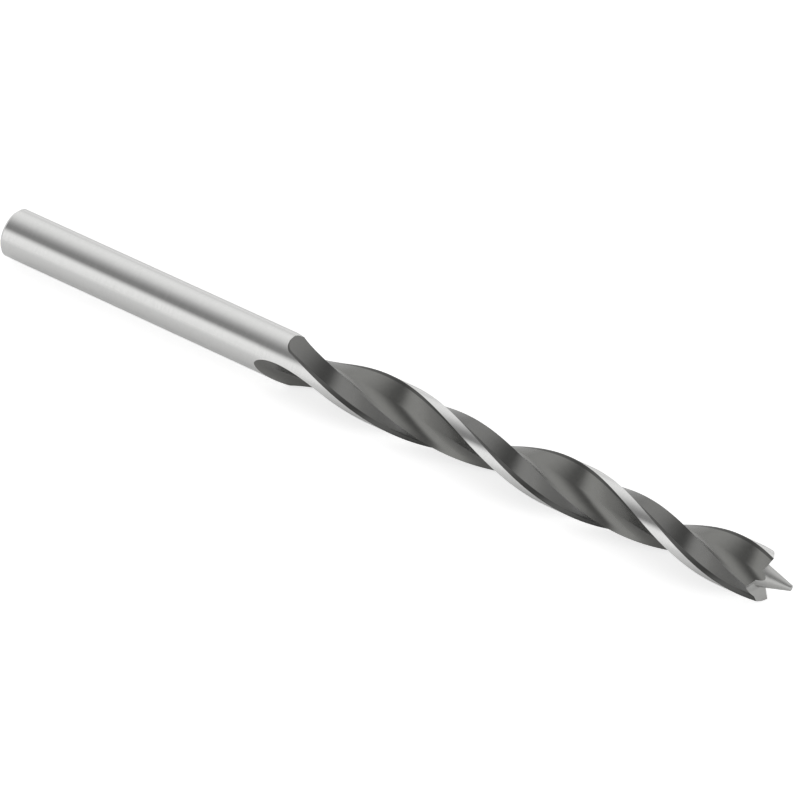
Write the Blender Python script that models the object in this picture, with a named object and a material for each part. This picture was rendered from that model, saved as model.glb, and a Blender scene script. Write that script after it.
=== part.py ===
"""Brad point drill bit, 5 mm, for wood. One ground piece of tool steel.

It is drawn along +X with its shank end at x = 0 and its axis on z = 0, then moved
to rest on z = 0 with x = 0 halfway along it.

A flute and the land behind it make half of the cross section, and the other
half is the same turned by 180 degrees. The section turns along a right hand
helix. Angles in it are measured from the cutting edge of the land, positive
the way the bit turns when it cuts, so the flute lies ahead of the edge and
the land behind it.
"""
import math

import bmesh
import bpy
import numpy as np

MM = 0.001
DEG = math.pi / 180

# Body
DIAMETER = 5.0 * MM
OVERALL_LENGTH = 86.0 * MM
SHANK_CHAMFER = 0.3 * MM
FLUTED_LENGTH = 56.2 * MM
NOSE_PITCH = 44.3 * MM           # pitch of the helix where the flutes begin
SPUR_PITCH = 33.5 * MM           # and at the spurs, with a steady change between
EDGE_BEARING = 84 * DEG          # where the first cutting edge points at the spurs, from +Y

# Cross section
MARGIN_ANGLE = 22 * DEG          # ground land at full diameter behind the edge
CLEARANCE_DEPTH = 0.5 * MM       # how far the rest of the land lies below it
CLEARANCE_STEP = 6 * DEG         # width of the slope between the two
LAND_ANGLE = 75 * DEG            # from the cutting edge to the heel
WEB_THICKNESS = 1.9 * MM
FLUTE_RADIUS = 2.0 * MM
FLUTE_BEARING = 62 * DEG         # direction of the flute's centre, ahead of the edge

# Run out of the flutes, where the grinding wheel lifts off the shank
WHEEL_RADIUS = 18.0 * MM
CLEARANCE_START = 2.8 * MM       # from the flute's nose
CLEARANCE_RAMP = 3.0 * MM

# Brad point
POINT_HEIGHT = 2.68 * MM         # centre tip above the valleys of the lips
POINT_RADIUS = 1.15 * MM         # radius of the valleys
POINT_FLAT = 0.3 * MM            # radius of the blunt tip
SPUR_HEIGHT = 0.55 * MM
RELIEF_ANGLE = 19 * DEG

# Fineness of the mesh
FLUTE_STEPS = 14
LAND_STEPS = 8
SLOPE_STEPS = 1
MARGIN_STEPS = 3
BODY_RINGS = 40
RUNOUT_RINGS = 14
TIP_RINGS = 4
TIP_ZONE = 1.2 * MM              # below the valleys, where rings bend up to the ground end
POINT_SHARES = (0.92, 0.82, 0.72, 0.62, 0.53, 0.44, 0.36, 0.28, 0.2, 0.12, 0.05)
SIDE_STEPS = 12                  # points along each side of the wheel's profile
NOSE_WIDTH = 14 * DEG            # narrowest band that the flute's points share

RADIUS = DIAMETER / 2
NOSE_X = OVERALL_LENGTH - FLUTED_LENGTH
VALLEY_X = OVERALL_LENGTH - POINT_HEIGHT
RUNOUT_LENGTH = math.sqrt(2 * WHEEL_RADIUS * (RADIUS - WEB_THICKNESS / 2))


def polar(radius, angle):
    return np.array([radius * math.cos(angle), radius * math.sin(angle)])


def tangent_point(point, centre, radius, side):
    """Point where the line from point touches the circle, on the given side."""
    to_centre = centre - point
    reach = max(np.linalg.norm(to_centre), radius)
    bearing = math.atan2(to_centre[1], to_centre[0]) + side * math.asin(radius / reach)
    return point + polar(math.sqrt(reach ** 2 - radius ** 2), bearing)


def flute_profile():
    """The grinding wheel's profile: rake face, round bottom and heel wall."""
    edge = polar(RADIUS, 0)
    heel = polar(RADIUS - CLEARANCE_DEPTH, math.pi - LAND_ANGLE)
    centre = polar(WEB_THICKNESS / 2 + FLUTE_RADIUS, FLUTE_BEARING)
    start = tangent_point(edge, centre, FLUTE_RADIUS, 1)
    end = tangent_point(heel, centre, FLUTE_RADIUS, -1)
    turn = [math.atan2(y, x) % (-2 * math.pi) for x, y in (start - centre, end - centre)]
    bottom = [centre + polar(FLUTE_RADIUS, angle) for angle in np.linspace(*turn, 24)]
    corners = [2 * edge - start, *bottom, 2 * heel - end]
    sides = [np.linspace(p, q, SIDE_STEPS, endpoint=False) for p, q in zip(corners, corners[1:])]
    return np.vstack([*sides, corners[-1]])


PROFILE = flute_profile()


def wheel_lift(x):
    """How far the grinding wheel has lifted off, from zero in the fluted body."""
    return max(0.0, NOSE_X + RUNOUT_LENGTH - x) ** 2 / (2 * WHEEL_RADIUS)


def clearance(x):
    ramp = (x - NOSE_X - CLEARANCE_START) / CLEARANCE_RAMP
    return CLEARANCE_DEPTH * math.sin(math.pi / 2 * min(1.0, max(0.0, ramp)))


def way_out(angle, radius, limit, step):
    """Angle where the wheel's profile, walked from its deepest point, comes out of the land."""
    i = radius.argmin()
    if radius[i] >= limit:
        return angle[i]
    while radius[i] < limit and 0 < i < len(radius) - 1:
        i += step
    return np.interp(limit, [radius[i - step], radius[i]], [angle[i - step], angle[i]])


def half_section(x):
    """Angles and radii of one flute and its land, from edge to edge."""
    land_radius = RADIUS - clearance(x)
    wall = PROFILE + polar(wheel_lift(x), FLUTE_BEARING)
    angle = np.unwrap(np.arctan2(wall[:, 1], wall[:, 0]))
    radius = np.hypot(wall[:, 0], wall[:, 1])
    edge = way_out(angle, radius, RADIUS, -1)
    heel = way_out(angle, radius, land_radius, 1)
    spare = max(0.0, NOSE_WIDTH - (heel - edge)) / 2
    edge, heel = edge - spare, heel + spare
    step = math.pi - MARGIN_ANGLE - CLEARANCE_STEP
    bands = ((edge, heel, FLUTE_STEPS), (heel, step, LAND_STEPS), (step, step + CLEARANCE_STEP, SLOPE_STEPS),
             (step + CLEARANCE_STEP, edge + math.pi, MARGIN_STEPS))
    angles = np.concatenate([np.linspace(a, b, n, endpoint=False) for a, b, n in bands])
    land = np.interp(angles, [step, step + CLEARANCE_STEP], [land_radius, RADIUS])
    land[:FLUTE_STEPS] = RADIUS
    return angles, np.minimum(land, np.interp(angles, angle, radius, DIAMETER, DIAMETER))


def section(x):
    angles, radii = half_section(x)
    return np.concatenate([angles, angles + math.pi]), np.concatenate([radii, radii])


def twist(x):
    """Bearing of the first cutting edge at x, constant along the shank."""
    spur_x = VALLEY_X + SPUR_HEIGHT
    behind = spur_x - np.maximum(x, NOSE_X)
    slowing = (1 / SPUR_PITCH - 1 / NOSE_PITCH) * behind / (spur_x - NOSE_X) / 2
    return EDGE_BEARING - 2 * math.pi * behind * (1 / SPUR_PITCH - slowing)


def place(x, bearings, radii):
    along = np.broadcast_to(x, bearings.shape)
    return np.column_stack([along, radii * np.cos(bearings), radii * np.sin(bearings)])


def ring(x, inset=0.0):
    angles, radii = section(x)
    return place(x, angles + twist(x), radii - inset)


def ground_end(bearings, radii):
    """Height of the ground end: spurs, lips with their relief, and the centre point."""
    behind = (EDGE_BEARING - bearings) % math.pi
    along_lip = radii * np.abs(np.cos(behind))
    spur = SPUR_HEIGHT * np.maximum(0, along_lip - POINT_RADIUS) / (RADIUS - POINT_RADIUS)
    point = POINT_HEIGHT * np.maximum(0, POINT_RADIUS - radii) / (POINT_RADIUS - POINT_FLAT)
    turned = np.minimum(behind, LAND_ANGLE * (math.pi - behind) / (math.pi - LAND_ANGLE))
    relief = math.tan(RELIEF_ANGLE) * radii * turned
    return np.minimum(OVERALL_LENGTH, VALLEY_X + spur + point - relief)


def tip_rings(start):
    """Rings that follow the helix up to the ground end, then close in on the centre point."""
    angles, radii = section(start)
    end = np.full(len(angles), VALLEY_X)
    for _ in range(30):
        end = (end + ground_end(angles + twist(end), radii)) / 2
    for share in np.linspace(0, 1, TIP_RINGS + 1)[1:]:
        x = start + share * (end - start)
        yield place(x, angles + twist(x), radii)
    bearings = angles + twist(end)
    for share in POINT_SHARES:
        yield place(ground_end(bearings, share * radii), bearings, share * radii)


def all_rings():
    yield ring(0, SHANK_CHAMFER)
    yield ring(SHANK_CHAMFER)
    body_start, body_end = NOSE_X + RUNOUT_LENGTH, VALLEY_X - TIP_ZONE
    for x in np.linspace(NOSE_X, body_start, RUNOUT_RINGS, endpoint=False):
        yield ring(x)
    for x in np.linspace(body_start, body_end, BODY_RINGS):
        yield ring(x)
    yield from tip_rings(body_end)


def steel(name, colour, roughness):
    material = bpy.data.materials.new(name)
    material.use_nodes = True
    shader = material.node_tree.nodes["Principled BSDF"]
    shader.inputs["Base Color"].default_value = (*colour, 1)
    shader.inputs["Metallic"].default_value = 1
    shader.inputs["Roughness"].default_value = roughness
    return material


def drill_bit():
    mesh = bmesh.new()
    rings = [[mesh.verts.new(point) for point in points] for points in all_rings()]
    for lower, upper in zip(rings, rings[1:]):
        for i in range(len(lower)):
            mesh.faces.new((lower[i - 1], upper[i - 1], upper[i], lower[i]))
    mesh.faces.new(rings[0])
    top = mesh.verts.new((OVERALL_LENGTH, 0, 0))
    for i in range(len(rings[-1])):
        mesh.faces.new((rings[-1][i - 1], top, rings[-1][i]))
    bmesh.ops.recalc_face_normals(mesh, faces=mesh.faces)
    data = bpy.data.meshes.new("drill_bit")
    mesh.to_mesh(data)
    mesh.free()
    data.shade_smooth()
    data.set_sharp_from_angle(angle=25 * DEG)
    data.materials.append(steel("ground_steel", (0.62, 0.61, 0.59), 0.28))
    bit = bpy.data.objects.new("drill_bit", data)
    bit.location = (-OVERALL_LENGTH / 2, 0, RADIUS)
    bpy.context.scene.collection.objects.link(bit)
    return bit


def main():
    for item in list(bpy.data.objects):
        bpy.data.objects.remove(item, do_unlink=True)
    drill_bit()


main()
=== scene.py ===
"""Looks of the brad point drill bit: its ground and fluted steel, the floor, the light, the camera."""
import math

import bpy
import numpy as np
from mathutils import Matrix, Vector


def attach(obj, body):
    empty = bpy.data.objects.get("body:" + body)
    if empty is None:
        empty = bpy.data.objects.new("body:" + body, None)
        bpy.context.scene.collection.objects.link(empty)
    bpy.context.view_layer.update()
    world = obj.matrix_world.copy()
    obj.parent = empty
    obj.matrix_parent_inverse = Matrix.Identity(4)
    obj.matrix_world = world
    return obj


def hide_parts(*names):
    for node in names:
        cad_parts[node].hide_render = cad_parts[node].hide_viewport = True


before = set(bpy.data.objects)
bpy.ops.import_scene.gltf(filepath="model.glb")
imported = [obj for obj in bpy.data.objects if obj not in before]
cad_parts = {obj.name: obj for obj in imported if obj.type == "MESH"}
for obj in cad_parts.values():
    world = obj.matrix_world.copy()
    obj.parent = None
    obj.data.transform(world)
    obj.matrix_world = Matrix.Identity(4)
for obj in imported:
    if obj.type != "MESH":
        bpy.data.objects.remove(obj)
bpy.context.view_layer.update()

MM = 0.001
DEG = math.pi / 180

# The bit's sizes, as in the part
DIAMETER = 5.0 * MM
OVERALL_LENGTH = 86.0 * MM
SHANK_CHAMFER = 0.3 * MM
FLUTED_LENGTH = 56.2 * MM
NOSE_PITCH = 44.3 * MM
SPUR_PITCH = 33.5 * MM
EDGE_BEARING = 84 * DEG
MARGIN_ANGLE = 22 * DEG
CLEARANCE_DEPTH = 0.5 * MM
CLEARANCE_STEP = 6 * DEG
LAND_ANGLE = 75 * DEG
WEB_THICKNESS = 1.9 * MM
FLUTE_RADIUS = 2.0 * MM
FLUTE_BEARING = 62 * DEG
WHEEL_RADIUS = 18.0 * MM
CLEARANCE_START = 2.8 * MM
CLEARANCE_RAMP = 3.0 * MM
POINT_HEIGHT = 2.68 * MM
POINT_RADIUS = 1.15 * MM
POINT_FLAT = 0.3 * MM
SPUR_HEIGHT = 0.55 * MM
RELIEF_ANGLE = 19 * DEG

RADIUS = DIAMETER / 2
NOSE_X = OVERALL_LENGTH - FLUTED_LENGTH
VALLEY_X = OVERALL_LENGTH - POINT_HEIGHT
RUNOUT_LENGTH = math.sqrt(2 * WHEEL_RADIUS * (RADIUS - WEB_THICKNESS / 2))

# The clearance is ground flat: deeper in its middle than the part's round one, and less deep at its sides
FLAT_EXTRA = 0.07 * MM
FLAT_BEARING = math.pi - (LAND_ANGLE + MARGIN_ANGLE + CLEARANCE_STEP) / 2
FLAT_REACH = 1.2

# Rounded start of that flat, on the shank's side
FLAT_START = CLEARANCE_START - 0.25 * MM
FLAT_ROUNDING = 0.7 * MM
FLAT_CORNER = 20 * DEG
FLAT_EASE = 0.6

# Fineness of the mesh
BOTTOM_STEPS = 48
SIDE_STEPS = 60
FLUTE_STEPS = 70
EDGE_STEPS = 2
LAND_STEPS = 36
SLOPE_STEPS = 5
MARGIN_STEPS = 14
RUNOUT_RINGS = 110
BODY_RINGS = 190
TIP_RINGS = 12
TIP_ZONE = 1.2 * MM
POINT_RINGS = 36
NOSE_WIDTH = 6 * DEG
HEIGHT_ROUNDS = 40
CUT_TOLERANCE = 0.002 * MM
SHARP_ANGLE = 20 * DEG

# Finishes: name, colour, roughness, size of the grain along and across, its depth and its spread of roughness
FINISHES = (
    ("ground_steel", (0.66, 0.66, 0.652), 0.16, (9000, 1200, 1200), 0.10, 0.03),
    ("flute_steel", (0.190, 0.190, 0.182), 0.24, (2500, 2500, 2500), 0.15, 0.05),
    ("relief_steel", (0.168, 0.168, 0.163), 0.21, (2500, 2500, 2500), 0.15, 0.05),
    ("point_steel", (0.45, 0.45, 0.44), 0.34, (6000, 1500, 1500), 0.15, 0.05),
    # the darkest steel is painted shade: dark lines along the cutting edges and on the step up to the margin,
    # where shade and dark reflections fall
    ("painted_shade_steel", (0.10, 0.10, 0.097), 0.40, (2500, 2500, 2500), 0.15, 0.05),
)
GROUND, FLUTE, RELIEF, POINT, PAINTED_SHADE = range(len(FINISHES))
GRAIN_SHADES = (0.93, 1.07)
GRAIN_HEIGHT = 0.01 * MM

# Floor: what it gives off to the camera, and to the metal as a painted glow from next to the bit out to
# MIRROR_REACH, fainter near the bit as painted shade
FLOOR_SIZE = 4
FLOOR_SHADE = 0.8
FLOOR_LIFT = 0.62
MIRROR_LIFTS = (0.17, 0.36)
MIRROR_REACH = 40 * MM

# Brightness of the studio round the bit, from the front horizon over the top to the back one
STUDIO = ((0, 1.05), (25, 1.14), (36, 1.10), (46, 0.70), (55, 0.30), (70, 0.31), (80, 0.42),
          (90, 0.56), (100, 0.72), (112, 0.90), (127, 1.03), (142, 1.08), (156, 1.04), (168, 0.90),
          (180, 0.90))

# Camera, placed as the photograph's was
AZIMUTH = 32.28 * DEG
ELEVATION = 46.45 * DEG
DISTANCE = 0.37
LENS = 180
SENSOR = 36
AIM = Vector((2.49, -1.53, 5.58)) * MM


# Form of the bit

def polar(radius, angle):
    """Point of the cross section at a radius and an angle."""
    return np.array([radius * math.cos(angle), radius * math.sin(angle)])


def tangent_point(point, centre, radius, side):
    """Where a line from the point touches the circle, on the side given as 1 or -1."""
    to_centre = centre - point
    reach = max(np.linalg.norm(to_centre), radius)
    bearing = math.atan2(to_centre[1], to_centre[0]) + side * math.asin(radius / reach)
    return point + polar(math.sqrt(reach ** 2 - radius ** 2), bearing)


def flute_profile():
    """The grinding wheel's profile: rake face, round bottom and heel wall."""
    edge = polar(RADIUS, 0)
    heel = polar(RADIUS - CLEARANCE_DEPTH, math.pi - LAND_ANGLE)
    centre = polar(WEB_THICKNESS / 2 + FLUTE_RADIUS, FLUTE_BEARING)
    start = tangent_point(edge, centre, FLUTE_RADIUS, 1)
    end = tangent_point(heel, centre, FLUTE_RADIUS, -1)
    turn = [math.atan2(y, x) % (-2 * math.pi) for x, y in (start - centre, end - centre)]
    bottom = [centre + polar(FLUTE_RADIUS, angle) for angle in np.linspace(*turn, BOTTOM_STEPS)]
    corners = [2 * edge - start, *bottom, 2 * heel - end]
    sides = [np.linspace(p, q, SIDE_STEPS, endpoint=False) for p, q in zip(corners, corners[1:])]
    return np.vstack([*sides, corners[-1]])


PROFILE = flute_profile()


def wheel_lift(x):
    """How far the flute's wheel has lifted out of the bar at x."""
    return max(0.0, NOSE_X + RUNOUT_LENGTH - x) ** 2 / (2 * WHEEL_RADIUS)


def clearance(x, angles):
    """Radius of the flat that is ground behind the margin."""
    ramp = min(1.0, max(0.0, (x - NOSE_X - FLAT_START) / CLEARANCE_RAMP))
    depth = (CLEARANCE_DEPTH + FLAT_EXTRA) * math.sin(math.pi / 2 * ramp ** FLAT_EASE)
    aside = np.clip(angles - FLAT_BEARING, -FLAT_REACH, FLAT_REACH)
    return np.minimum(RADIUS, (RADIUS - depth) / np.cos(aside))


def step_angle(x):
    """Angle of the flat's step up to the margin, which bends away in the rounded start."""
    short = min(1.0, max(0.0, 1 - (x - NOSE_X - FLAT_START) / FLAT_ROUNDING))
    return math.pi - MARGIN_ANGLE - CLEARANCE_STEP - FLAT_CORNER * (1 - math.sqrt(1 - short ** 2))


def way_out(angle, rise, step):
    """Angle where the wheel's profile, walked from its deepest point, comes out of the land."""
    i = rise.argmin()
    if rise[i] >= 0:
        return angle[i]
    while rise[i] < 0 and 0 < i < len(rise) - 1:
        i += step
    return np.interp(0, [rise[i - step], rise[i]], [angle[i - step], angle[i]])


def half_section(x):
    """Angles and radii of one flute and its land, from edge to edge."""
    wall = PROFILE + polar(wheel_lift(x), FLUTE_BEARING)
    angle = np.unwrap(np.arctan2(wall[:, 1], wall[:, 0]))
    radius = np.hypot(wall[:, 0], wall[:, 1])
    edge = way_out(angle, radius - RADIUS, -1)
    heel = way_out(angle, radius - clearance(x, angle), 1)
    spare = max(0.0, NOSE_WIDTH - (heel - edge)) / 2
    edge -= spare
    heel += spare
    step = step_angle(x)
    bands = ((edge, heel, FLUTE_STEPS), (heel, step, LAND_STEPS), (step, step + CLEARANCE_STEP, SLOPE_STEPS),
             (step + CLEARANCE_STEP, edge + math.pi, MARGIN_STEPS))
    angles = np.concatenate([np.linspace(a, b, n, endpoint=False) for a, b, n in bands])
    land = clearance(x, np.minimum(angles, step))
    land += (RADIUS - land) * np.clip((angles - step) / CLEARANCE_STEP, 0, 1)
    land[:FLUTE_STEPS] = RADIUS
    return angles, np.minimum(land, np.interp(angles, angle, radius, DIAMETER, DIAMETER))


def section(x):
    """Angles and radii all round: both flutes and both lands."""
    angles, radii = half_section(x)
    return np.concatenate([angles, angles + math.pi]), np.concatenate([radii, radii])


def twist(x):
    """Bearing of the first cutting edge at x, constant along the shank."""
    spur_x = VALLEY_X + SPUR_HEIGHT
    behind = spur_x - np.maximum(x, NOSE_X)
    slowing = (1 / SPUR_PITCH - 1 / NOSE_PITCH) * behind / (spur_x - NOSE_X) / 2
    return EDGE_BEARING - 2 * math.pi * behind * (1 / SPUR_PITCH - slowing)


def place(x, bearings, radii):
    """Points at x, or each at its own x, from their bearings and radii."""
    along = np.broadcast_to(x, bearings.shape)
    return np.column_stack([along, radii * np.cos(bearings), radii * np.sin(bearings)])


def ring(x, inset=0.0):
    """Points of the section at x, turned along the helix."""
    angles, radii = section(x)
    return place(x, angles + twist(x), radii - inset)


def ground_end(bearings, radii):
    """Height of the ground end: spurs, lips with their relief, and the centre point."""
    behind = (EDGE_BEARING - bearings) % math.pi
    along_lip = radii * np.abs(np.cos(behind))
    spur = SPUR_HEIGHT * np.maximum(0, along_lip - POINT_RADIUS) / (RADIUS - POINT_RADIUS)
    point = POINT_HEIGHT * np.maximum(0, POINT_RADIUS - radii) / (POINT_RADIUS - POINT_FLAT)
    turned = np.minimum(behind, LAND_ANGLE * (math.pi - behind) / (math.pi - LAND_ANGLE))
    relief = math.tan(RELIEF_ANGLE) * radii * turned
    return np.minimum(OVERALL_LENGTH, VALLEY_X + spur + point - relief)


def body_rings():
    """Rings of the shank, the run outs and the fluted body."""
    yield ring(0, SHANK_CHAMFER)
    yield ring(SHANK_CHAMFER)
    body_start, body_end = NOSE_X + RUNOUT_LENGTH, VALLEY_X - TIP_ZONE
    for x in np.linspace(NOSE_X, body_start, RUNOUT_RINGS, endpoint=False):
        yield ring(x)
    for x in np.linspace(body_start, body_end, BODY_RINGS):
        yield ring(x)


def tip_rings(start):
    """Rings that follow the helix up to the ground end, then close in on the centre point."""
    angles, radii = section(start)
    end = np.full(len(angles), VALLEY_X)
    for _ in range(HEIGHT_ROUNDS):
        end = (end + ground_end(angles + twist(end), radii)) / 2
    for share in np.linspace(0, 1, TIP_RINGS + 1)[1:]:
        x = start + share * (end - start)
        yield place(x, angles + twist(x), radii)
    bearings = angles + twist(end)
    for share in np.linspace(1, 0, POINT_RINGS + 1)[1:-1]:
        yield place(ground_end(bearings, share * radii), bearings, share * radii)


# Finishes

def node(tree, kind, **settings):
    """New node of a material, with its settings."""
    made = tree.nodes.new(kind)
    for name, value in settings.items():
        setattr(made, name, value)
    return made


def steel(name, colour, roughness, grain_size, grain_depth, spread):
    """Ground steel: metal with a fine grain in its shade, its roughness and its height."""
    material = bpy.data.materials.new(name)
    material.use_nodes = True
    tree = material.node_tree
    shader = tree.nodes["Principled BSDF"]
    shader.inputs["Metallic"].default_value = 1
    spot = node(tree, "ShaderNodeTexCoord")
    stretch = node(tree, "ShaderNodeMapping")
    stretch.inputs["Scale"].default_value = grain_size
    tree.links.new(spot.outputs["Object"], stretch.inputs["Vector"])
    grain = node(tree, "ShaderNodeTexNoise")
    grain.inputs["Scale"].default_value = 1
    grain.inputs["Detail"].default_value = 4
    tree.links.new(stretch.outputs["Vector"], grain.inputs["Vector"])
    rough = node(tree, "ShaderNodeMapRange")
    rough.inputs["To Min"].default_value = roughness - spread
    rough.inputs["To Max"].default_value = roughness + spread
    tree.links.new(grain.outputs["Fac"], rough.inputs["Value"])
    tree.links.new(rough.outputs["Result"], shader.inputs["Roughness"])
    shade = node(tree, "ShaderNodeMix", data_type="RGBA")
    for socket, share in zip("AB", GRAIN_SHADES):
        shade.inputs[socket].default_value = (*[share * c for c in colour], 1)
    tree.links.new(grain.outputs["Fac"], shade.inputs["Factor"])
    tree.links.new(shade.outputs["Result"], shader.inputs["Base Color"])
    bump = node(tree, "ShaderNodeBump")
    bump.inputs["Strength"].default_value = grain_depth
    bump.inputs["Distance"].default_value = GRAIN_HEIGHT
    tree.links.new(grain.outputs["Fac"], bump.inputs["Height"])
    tree.links.new(bump.outputs["Normal"], shader.inputs["Normal"])
    return material


def finish(band, near, far):
    """Slot of a face: shank and land stay bright up to where the flute and the clearance are cut."""
    uncut = min(np.hypot(*near[1:]), np.hypot(*far[1:])) > RADIUS - CUT_TOLERANCE
    return GROUND if uncut or near[0] < NOSE_X else band


def bit():
    """The whole bit as one closed mesh of rings, capped at the shank's end and at the centre point."""
    rings = [*body_rings()]
    wall_count = len(rings) + TIP_RINGS - 1
    rings += [*tip_rings(VALLEY_X - TIP_ZONE)]
    count = len(rings[0])
    points = np.vstack([*rings, [[OVERALL_LENGTH, 0, 0]]])
    last = len(points) - 1
    # the first faces behind each cutting edge and the step up to the margin take the darkest steel, as
    # painted shade
    flute = [PAINTED_SHADE] * EDGE_STEPS + [FLUTE] * (FLUTE_STEPS - EDGE_STEPS)
    land = [RELIEF] * LAND_STEPS + [PAINTED_SHADE] * SLOPE_STEPS + [GROUND] * MARGIN_STEPS
    bands = (flute + land) * 2
    faces, slots = [], []
    for k in range(len(rings) - 1):
        for i in range(count):
            j = (i + 1) % count
            faces.append((k * count + i, k * count + j, (k + 1) * count + j, (k + 1) * count + i))
            slots.append(finish(bands[i], rings[k][i], rings[k + 1][j]) if k < wall_count else POINT)
    base = (len(rings) - 1) * count
    faces += [(base + i, base + (i + 1) % count, last) for i in range(count)]
    slots += [POINT] * count
    faces.append(tuple(range(count))[::-1])
    slots.append(GROUND)
    data = bpy.data.meshes.new("ground_bit")
    data.from_pydata(points.tolist(), [], [face[::-1] for face in faces])
    data.polygons.foreach_set("material_index", slots)
    data.shade_smooth()
    data.set_sharp_from_angle(angle=SHARP_ANGLE)
    for values in FINISHES:
        data.materials.append(steel(*values))
    made = bpy.data.objects.new("ground_bit", data)
    made.location = (-OVERALL_LENGTH / 2, 0, RADIUS)
    bpy.context.scene.collection.objects.link(made)
    return made


# Floor, light and camera

def floor():
    """A pale floor with the bit's shadow: white to the camera; to the metal it gives off a painted glow that
    is darker right next to the bit, as painted shade.
    """
    bpy.ops.mesh.primitive_plane_add(size=FLOOR_SIZE, location=(0, 0, 0))
    made = bpy.context.object
    made.name = "floor"
    material = bpy.data.materials.new("floor")
    material.use_nodes = True
    tree = material.node_tree
    shader = tree.nodes["Principled BSDF"]
    shader.inputs["Base Color"].default_value = (FLOOR_SHADE, FLOOR_SHADE, FLOOR_SHADE, 1)
    shader.inputs["Roughness"].default_value = 1
    shader.inputs["Specular IOR Level"].default_value = 0
    path = node(tree, "ShaderNodeLightPath")
    spot = node(tree, "ShaderNodeTexCoord")
    split = node(tree, "ShaderNodeSeparateXYZ")
    tree.links.new(spot.outputs["Object"], split.inputs[0])
    away = node(tree, "ShaderNodeMath", operation="ABSOLUTE")
    tree.links.new(split.outputs["Y"], away.inputs[0])
    # painted glow for the metal's reflections, fading to painted shade next to the bit
    fade = node(tree, "ShaderNodeMapRange")
    fade.inputs["From Max"].default_value = MIRROR_REACH
    for socket, lift in zip(("To Min", "To Max"), MIRROR_LIFTS):
        fade.inputs[socket].default_value = lift
    tree.links.new(away.outputs["Value"], fade.inputs["Value"])
    mirrored = node(tree, "ShaderNodeMath", operation="MULTIPLY")
    tree.links.new(path.outputs["Is Glossy Ray"], mirrored.inputs[0])
    tree.links.new(fade.outputs["Result"], mirrored.inputs[1])
    glow = node(tree, "ShaderNodeMath", operation="MULTIPLY_ADD")
    glow.inputs[1].default_value = FLOOR_LIFT
    tree.links.new(path.outputs["Is Camera Ray"], glow.inputs[0])
    tree.links.new(mirrored.outputs["Value"], glow.inputs[2])
    shader.inputs["Emission Color"].default_value = (1, 1, 1, 1)
    tree.links.new(glow.outputs["Value"], shader.inputs["Emission Strength"])
    made.data.materials.append(material)


def studio():
    """Soft boxes along the bit: bright in front and behind, with a dark gap over the camera."""
    world = bpy.data.worlds.new("studio")
    bpy.context.scene.world = world
    world.use_nodes = True
    tree = world.node_tree
    tree.nodes.clear()
    out = node(tree, "ShaderNodeOutputWorld")
    boxes = node(tree, "ShaderNodeBackground")
    white = node(tree, "ShaderNodeBackground")
    white.inputs["Color"].default_value = (1, 1, 1, 1)
    mix = node(tree, "ShaderNodeMixShader")
    path = node(tree, "ShaderNodeLightPath")
    way = node(tree, "ShaderNodeTexCoord")
    split = node(tree, "ShaderNodeSeparateXYZ")
    front = node(tree, "ShaderNodeMath", operation="MULTIPLY")
    front.inputs[1].default_value = -1
    bearing = node(tree, "ShaderNodeMath", operation="ARCTAN2")
    share = node(tree, "ShaderNodeMath", operation="DIVIDE")
    share.inputs[1].default_value = math.pi
    ramp = node(tree, "ShaderNodeValToRGB")
    stops = ramp.color_ramp.elements
    while len(stops) < len(STUDIO):
        stops.new(0.5)
    for stop, (angle, _) in zip(stops, STUDIO):
        stop.position = angle / 180
    for stop, (_, level) in zip(stops, STUDIO):
        stop.color = (level, level, level, 1)
    tree.links.new(way.outputs["Generated"], split.inputs[0])
    tree.links.new(split.outputs["Y"], front.inputs[0])
    tree.links.new(split.outputs["Z"], bearing.inputs[0])
    tree.links.new(front.outputs["Value"], bearing.inputs[1])
    tree.links.new(bearing.outputs["Value"], share.inputs[0])
    tree.links.new(share.outputs["Value"], ramp.inputs["Fac"])
    tree.links.new(ramp.outputs["Color"], boxes.inputs["Color"])
    tree.links.new(path.outputs["Is Camera Ray"], mix.inputs["Fac"])
    tree.links.new(boxes.outputs["Background"], mix.inputs[1])
    tree.links.new(white.outputs["Background"], mix.inputs[2])
    tree.links.new(mix.outputs["Shader"], out.inputs["Surface"])


def camera():
    """Long lens aimed from the photograph's side and height."""
    data = bpy.data.cameras.new("camera")
    data.lens = LENS
    data.sensor_width = SENSOR
    data.clip_start = 0.01
    data.clip_end = 10
    made = bpy.data.objects.new("camera", data)
    level = math.cos(ELEVATION)
    back = Vector((math.sin(AZIMUTH) * level, -math.cos(AZIMUTH) * level, math.sin(ELEVATION)))
    made.location = AIM + DISTANCE * back
    made.rotation_euler = (-back).to_track_quat("-Z", "Y").to_euler()
    bpy.context.scene.collection.objects.link(made)
    bpy.context.scene.camera = made


piece = bit()
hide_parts("drill_bit")
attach(piece, "root")
floor()
studio()
camera()
bpy.context.scene.view_settings.view_transform = "Standard"
